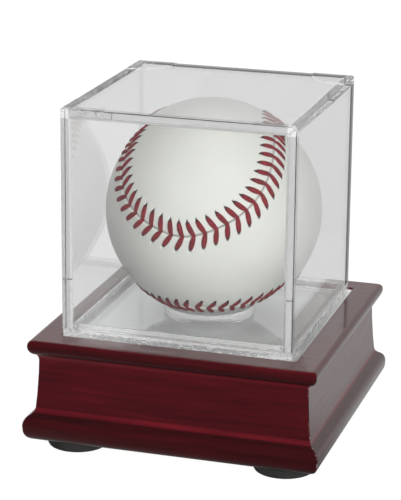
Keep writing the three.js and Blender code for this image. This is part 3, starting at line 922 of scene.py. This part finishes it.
def leather(name, side):
    n, m = 2160, 22
    insets = np.array([0.12, 0.2, 0.32, 0.5, 0.7, 0.9, 1.3, 1.8, 2.4, 3.0, 3.6, 4.1, 4.5, 4.8, 5.1, 5.4, 5.7,
                       6.05, 6.5, 7.2])
    s_own = SEAM_LEN * np.arange(n) / n
    t = T_OF(s_own)
    p, d, into = frame_at(t)
    s_real = s_own if side == "a" else S_OF(math.pi - t)   # the other panel is this one turned over
    verts, hole_shade_w, seam_dirt_and_shade_w, faces = [], [], [], []
    for k, w in enumerate(insets):
        q = p * math.cos(w / LEATHER_R) + into * math.sin(w / LEATHER_R)
        h, hole = relief(s_real, w, side)
        verts.append(q * (LEATHER_R + h)[:, None])
        # weight of the painted shade in the stitch holes
        hole_shade_w.append(np.clip((hole - 0.25) / 0.5, 0, 1))
        # darker towards the seam edge: painted shade, with some dirt
        seam_dirt_and_shade_w.append(np.full(n, math.exp(-((w - 0.12) / 0.22) ** 2)))
    K = len(insets)
    rim = [[k * n + i for i in range(n)] for k in range(K)]
    for k in range(K - 1):
        for i in range(n):
            j = (i + 1) % n
            faces.append((rim[k][i], rim[k][j], rim[k + 1][j], rim[k + 1][i]))
    count = K * n

    def fill(row, radius, steps, flip):
        nonlocal count
        half = n // 2
        unit = np.concatenate(verts)[row]
        unit = unit / np.linalg.norm(unit, axis=1, keepdims=True)
        us = np.linspace(-1, 1, steps + 1)[1:-1]
        cols = {0: [row[0]], half: [row[half]]}
        block = []
        for i in range(1, half):
            x, y, z = unit[i]
            phi = math.asin(max(-1, min(1, y)))
            mid = np.array([x, 0, z]) / math.hypot(x, z)
            pts = [mid * math.cos(u * phi) + np.array([0, math.sin(u * phi), 0]) for u in -us]
            block += [q * radius for q in pts]
            cols[i] = [row[i]] + list(range(count, count + len(us))) + [row[n - i]]
            count += len(us)
        verts.append(np.array(block))
        hole_shade_w.append(np.zeros(len(block)))
        seam_dirt_and_shade_w.append(np.zeros(len(block)))
        for i in range(half):
            a, b = cols[i], cols[i + 1]
            if len(a) == 1:
                fs = [(a[0], b[j], b[j + 1]) for j in range(len(b) - 1)]
            elif len(b) == 1:
                fs = [(a[j], b[0], a[j + 1]) for j in range(len(a) - 1)]
            else:
                fs = [(a[j], b[j], b[j + 1], a[j + 1]) for j in range(len(a) - 1)]
            faces.extend(tuple(reversed(f)) if flip else f for f in fs)

    fill(rim[-1], LEATHER_R, m, False)
    # inner face of the leather
    verts.append(np.concatenate(verts)[rim[0]] / np.linalg.norm(np.concatenate(verts)[rim[0]], axis=1, keepdims=True) * LEATHER_IN)
    hole_shade_w.append(np.zeros(n))
    # the inner face, seen in the seam gap, gets the full seam darkening: painted shade
    seam_dirt_and_shade_w.append(np.ones(n))
    inner = list(range(count, count + n))
    count += n
    for i in range(n):
        j = (i + 1) % n
        faces.append((inner[i], inner[j], rim[0][j], rim[0][i]))
    fill(inner, LEATHER_IN, 5, True)
    co = np.concatenate(verts)
    if side == "b":
        co = co[:, [1, 0, 2]] * np.array([1, 1, -1])
    ob = new_object(name, in_place(co), faces)
    for key, w in (("hole", hole_shade_w), ("seam", seam_dirt_and_shade_w)):
        at = ob.data.attributes.new(key, "FLOAT", "POINT")
        at.data.foreach_set("value", np.concatenate(w).astype(np.float32))
    bm = bmesh.new()
    bm.from_mesh(ob.data)
    bmesh.ops.recalc_face_normals(bm, faces=bm.faces)
    for f in bm.faces:
        f.smooth = True
    for e in bm.edges:
        if len(e.link_faces) == 2:
            e.smooth = e.calc_face_angle(0.0) < 1.1
    bm.to_mesh(ob.data)
    bm.free()
    return ob


def stitches(name):
    verts, faces, along, around, tip = [], [], [], [], []
    rings, seg = 15, 12
    for k in range(108):
        for side, sign in (("a", 1.0), ("b", -1.0)):
            dh, ds = HOLE[side]
            v = np.linspace(0, 1, rings)
            lat = -0.25 + (dh + 0.30) * v
            ss = APEX_S[k] + ds * v + 0.10 * np.sin(math.pi * v)
            p, d, into = frame_at(T_OF(ss))
            w = lat[:, None] / LEATHER_R
            c = p * np.cos(w) + sign * into * np.sin(w)
            lift = 0.20 * np.sin(math.pi * np.clip(v * 1.02, 0, 1)) ** 0.7
            rad = LEATHER_R - 0.20 + 0.27 * np.clip(v / 0.18, 0, 1) + lift * 0.8 - 0.75 * np.clip((v - 0.84) / 0.16, 0, 1) ** 1.6
            centre = c * rad[:, None]
            tan = np.gradient(centre, axis=0)
            tan /= np.linalg.norm(tan, axis=1, keepdims=True)
            out = c
            sidev = np.cross(tan, out)
            sidev /= np.linalg.norm(sidev, axis=1, keepdims=True)
            upv = np.cross(sidev, tan)
            body = np.clip(np.sin(math.pi * (0.10 + 0.83 * v)), 0, 1) ** 0.55
            half_w = 0.94 * body
            half_h = 0.42 * body
            base = len(verts)
            dist = np.r_[0, np.cumsum(np.linalg.norm(np.diff(centre, axis=0), axis=1))]
            for r in range(rings):
                for j in range(seg):
                    a = 2 * math.pi * j / seg
                    verts.append(centre[r] + sidev[r] * half_w[r] * math.cos(a) + upv[r] * half_h[r] * math.sin(a))
                    along.append(dist[r])
                    around.append(abs(2 * j / seg - 1))
                    tip.append(v[r])
            for r in range(rings - 1):
                for j in range(seg):
                    q = (j + 1) % seg
                    faces.append((base + r * seg + j, base + r * seg + q, base + (r + 1) * seg + q, base + (r + 1) * seg + j))
            faces.append(tuple(base + j for j in reversed(range(seg))))
            faces.append(tuple(base + (rings - 1) * seg + j for j in range(seg)))
    ob = new_object(name, in_place(np.array(verts)), faces)
    for key, w in (("along", along), ("around", around), ("tip", tip)):
        at = ob.data.attributes.new(key, "FLOAT", "POINT")
        at.data.foreach_set("value", np.array(w, np.float32))
    bm = bmesh.new()
    bm.from_mesh(ob.data)
    bmesh.ops.recalc_face_normals(bm, faces=bm.faces)
    for f in bm.faces:
        f.smooth = True
    bm.to_mesh(ob.data)
    bm.free()
    return ob


finish_piece(leather("leather_cover_a", "a"), "ball", LEATHER, ["leather_panel_a"])
finish_piece(leather("leather_cover_b", "b"), "ball", LEATHER, ["leather_panel_b"])
finish_piece(stitches("red_stitches"), "ball", THREAD, ["seam_thread"])

# --------------------------------------------- CAD nodes that stay as they are
kept = {"bottom_panel": BOARD, "yarn_windings": YARN, "rubber_shell_a": SHELL, "rubber_shell_b": SHELL,
        "cork_core": CORK}
for tag in FEET:
    kept[f"corner_block_{tag}"] = PINE
for n_, m_ in kept.items():
    ob = nodes_cad[n_]
    if len(ob.material_slots) == 0:
        ob.data.materials.append(m_)
    for sl in ob.material_slots:
        sl.material = m_

# ------------------------------------------------------------- floor and light
# brightness of the surroundings as light, as gloss (front, back) and through the clear pieces
FLOOR_SOFT, FLOOR_GLOSS, FLOOR_CLEAR = 0.30, (0.05, 0.40), 0.74
WORLD_SOFT, WORLD_GLOSS, WORLD_CLEAR = 0.45, (0.10, 0.54), (0.76, 0.78)


def by_ray(nt, lp, soft, gloss, clear):
    """One value for light, one for glossy rays and one for rays through clear pieces."""
    def blend(flag, a, b):
        return math_node(nt, "ADD", math_node(nt, "MULTIPLY", math_node(nt, "SUBTRACT", 1.0, lp.outputs[flag]), a),
                         math_node(nt, "MULTIPLY", lp.outputs[flag], b))
    return blend("Is Transmission Ray", blend("Is Glossy Ray", soft, gloss), clear)


def make_floor():
    m, nt, out = material("studio_floor")
    d = nt.nodes.new("ShaderNodeBsdfDiffuse")
    d.inputs["Color"].default_value = (0.05, 0.05, 0.05, 1)
    white = nt.nodes.new("ShaderNodeEmission")
    white.inputs["Strength"].default_value = 0.98
    grey = nt.nodes.new("ShaderNodeEmission")
    sep = nt.nodes.new("ShaderNodeSeparateXYZ")
    nt.links.new(object_coord(nt), sep.inputs[0])
    depth = math_node(nt, "ADD", sep.outputs[1], math_node(nt, "MULTIPLY", sep.outputs[0], -0.3))
    lp = nt.nodes.new("ShaderNodeLightPath")
    level = by_ray(nt, lp, FLOOR_SOFT, ramp_fac(nt, depth, -0.085, 0.02, *FLOOR_GLOSS), FLOOR_CLEAR)
    nt.links.new(level, grey.inputs["Strength"])
    mx = nt.nodes.new("ShaderNodeMixShader")
    nt.links.new(lp.outputs["Is Camera Ray"], mx.inputs["Fac"])
    nt.links.new(grey.outputs[0], mx.inputs[1])
    nt.links.new(white.outputs[0], mx.inputs[2])
    a = nt.nodes.new("ShaderNodeAddShader")
    nt.links.new(d.outputs[0], a.inputs[0])
    nt.links.new(mx.outputs[0], a.inputs[1])
    nt.links.new(a.outputs[0], out.inputs["Surface"])
    return m


floor = new_object("studio_floor", [(-3000, -3000, -0.02), (3000, -3000, -0.02), (3000, 3000, -0.02), (-3000, 3000, -0.02)],
                   [(0, 1, 2, 3)])
floor.data.materials.append(make_floor())
floor.data.materials[0].cycles.emission_sampling = "NONE"

# camera: measured on the wood top, then lifted into the ground frame
F_PX, AZ, EL, ROLL, DIST = 2118.819, 16.96457, 17.07173, 0.49756, 753.6636
TARGET = Vector((-4.66151, 0.0, 22.34579 + TOP))
az, el, ro = (math.radians(x) for x in (AZ, EL, ROLL))
back = Vector((math.sin(az) * math.cos(el), -math.cos(az) * math.cos(el), math.sin(el)))
xc = Vector((0, 0, 1)).cross(back).normalized()
yc = back.cross(xc)
xr = math.cos(ro) * xc + math.sin(ro) * yc
yr = -math.sin(ro) * xc + math.cos(ro) * yc
cam_data = bpy.data.cameras.new("camera")
cam = bpy.data.objects.new("camera", cam_data)
scene.collection.objects.link(cam)
pos = (TARGET + back * DIST) * MM
mat = Matrix((xr, yr, back)).transposed().to_4x4()
cam.matrix_world = Matrix.Translation(pos) @ mat
cam_data.sensor_fit = "VERTICAL"
cam_data.sensor_height = 36.0
cam_data.lens = F_PX / 500.0 * 36.0
cam_data.clip_start = 0.01
cam_data.clip_end = 20.0
scene.camera = cam


def area(name, at, size, power, color=(1, 1, 1), aim=(0, 0, 0.07), glossy=True):
    l = bpy.data.lights.new(name, "AREA")
    l.shape = "RECTANGLE"
    l.size, l.size_y = size
    l.energy = power
    l.color = color
    ob = bpy.data.objects.new(name, l)
    scene.collection.objects.link(ob)
    ob.location = at
    ob.rotation_euler = (Vector(aim) - Vector(at)).to_track_quat("-Z", "Y").to_euler()
    ob.visible_camera = False
    ob.visible_glossy = glossy
    ob.visible_transmission = False
    return ob


def around(azimuth, elevation, distance):
    """A place seen from the object: azimuth from the front towards the right, in degrees."""
    a, e = math.radians(azimuth), math.radians(elevation)
    return (distance * math.sin(a) * math.cos(e), -distance * math.cos(a) * math.cos(e), 0.07 + distance * math.sin(e))


area("key_light", around(50, 12, 1.4), (1.0, 0.6), 16.5, glossy=False)
area("front_light", around(2, 14, 1.4), (1.0, 0.5), 12.0, glossy=False)
area("top_light", around(14, 74, 1.4), (0.8, 0.8), 3.5, glossy=False)
area("rear_light", around(212, 50, 1.4), (1.2, 1.0), 12.0, glossy=False)

world = bpy.data.worlds.new("studio")
scene.world = world
world.use_nodes = True
nt = world.node_tree
for n in list(nt.nodes):
    nt.nodes.remove(n)
wo = nt.nodes.new("ShaderNodeOutputWorld")
bg = nt.nodes.new("ShaderNodeBackground")
tc = nt.nodes.new("ShaderNodeTexCoord")
dt = nt.nodes.new("ShaderNodeVectorMath")
dt.operation = "DOT_PRODUCT"
nt.links.new(tc.outputs["Generated"], dt.inputs[0])
dt.inputs[1].default_value = (-math.sin(az), math.cos(az), 0.0)
lp = nt.nodes.new("ShaderNodeLightPath")
level = by_ray(nt, lp, WORLD_SOFT, ramp_fac(nt, dt.outputs["Value"], 0.45, 0.88, *WORLD_GLOSS),
               ramp_fac(nt, dt.outputs["Value"], -0.35, 0.15, *WORLD_CLEAR))
grey = nt.nodes.new("ShaderNodeCombineColor")
for k in range(3):
    nt.links.new(level, grey.inputs[k])
col = mix_color(nt, lp.outputs["Is Camera Ray"], grey.outputs[0], (1.0, 1.0, 1.0))
nt.links.new(col, bg.inputs["Color"])
bg.inputs["Strength"].default_value = 1.0
nt.links.new(bg.outputs[0], wo.inputs["Surface"])

scene.view_settings.view_transform = "Standard"
scene.view_settings.look = "None"
scene.cycles.use_adaptive_sampling = False
scene.cycles.max_bounces = 24
scene.cycles.transmission_bounces = 24
scene.cycles.transparent_max_bounces = 32
scene.cycles.glossy_bounces = 8
scene.cycles.diffuse_bounces = 4
scene.cycles.caustics_reflective = False
scene.cycles.caustics_refractive = False
scene.cycles.sample_clamp_indirect = 40.0
scene.cycles.blur_glossy = 0.5
